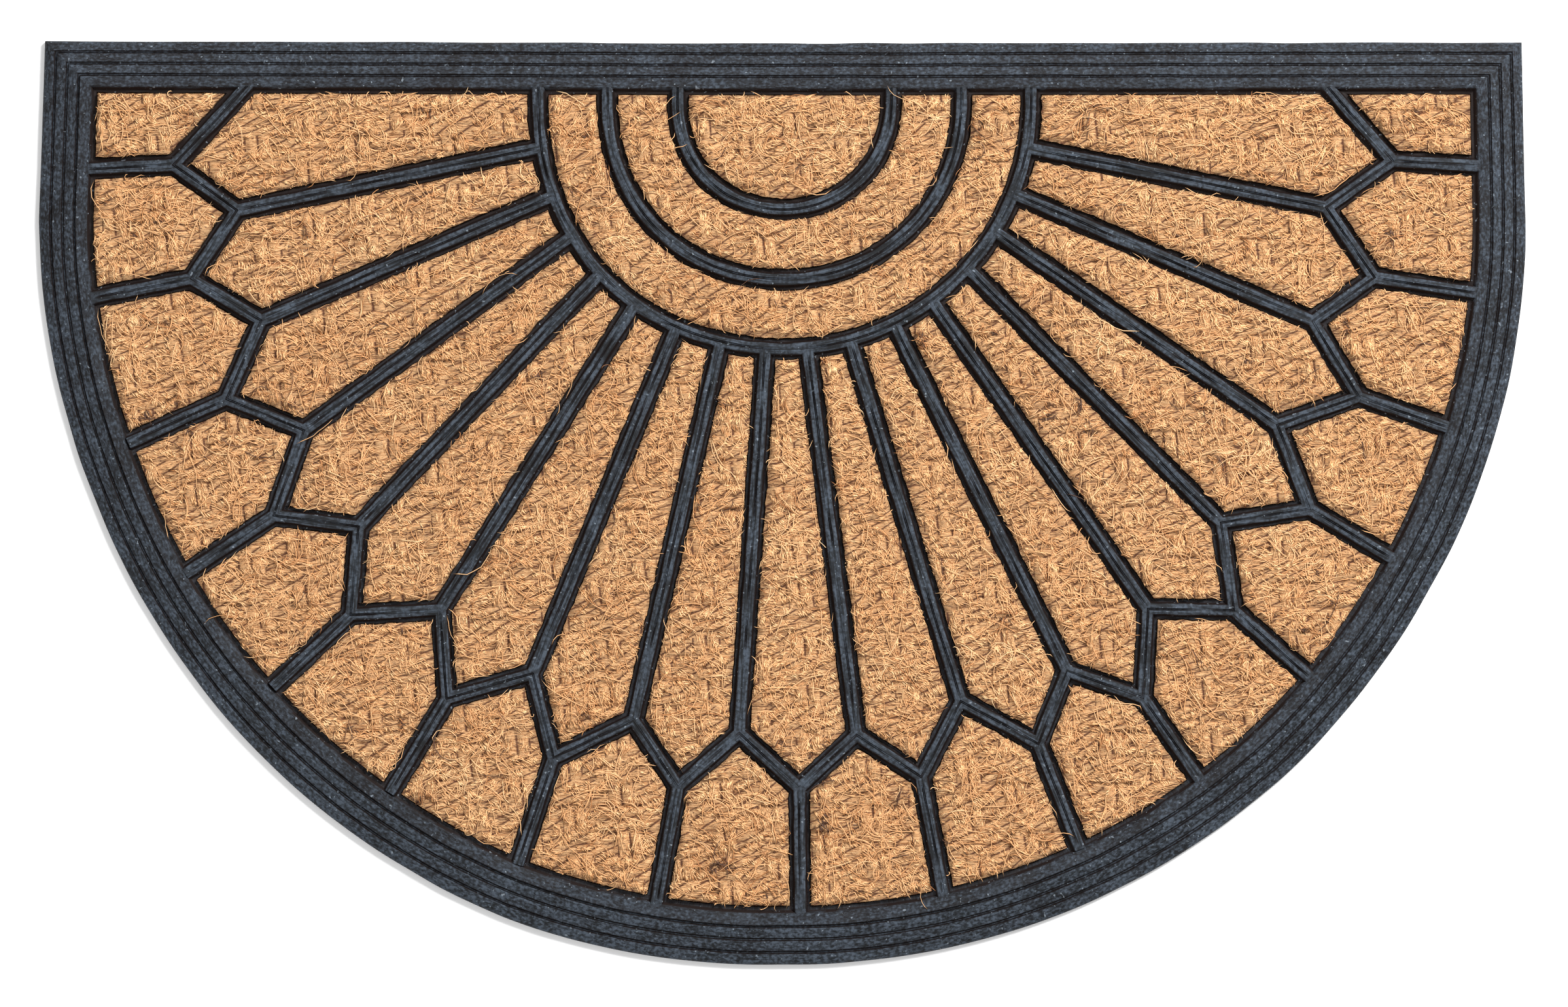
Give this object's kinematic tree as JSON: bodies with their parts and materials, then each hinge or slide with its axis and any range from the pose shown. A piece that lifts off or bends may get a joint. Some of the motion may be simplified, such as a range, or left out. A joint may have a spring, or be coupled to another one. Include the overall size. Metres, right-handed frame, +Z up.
{
  "type": "half round doormat",
  "caption": "Half round doormat of moulded black rubber, with a ribbed sunburst grid over one sheet of woven coir, laid flat.",
  "frame": {"origin": "the middle of the mat's bounding box, at floor level", "axes": "+X along the straight edge, +Y towards the straight edge, +Z up"},
  "size_m": [0.74, 0.46, 0.0104],
  "materials": {
    "rubber": "semi-matt moulded, with a pale dusty bloom",
    "coir": "coarse hairy plain weave of natural fibre"
  },
  "bodies": {
    "root": {"rubber_moulding": "rubber", "coir_panel": "coir"}
  },
  "joints": []
}
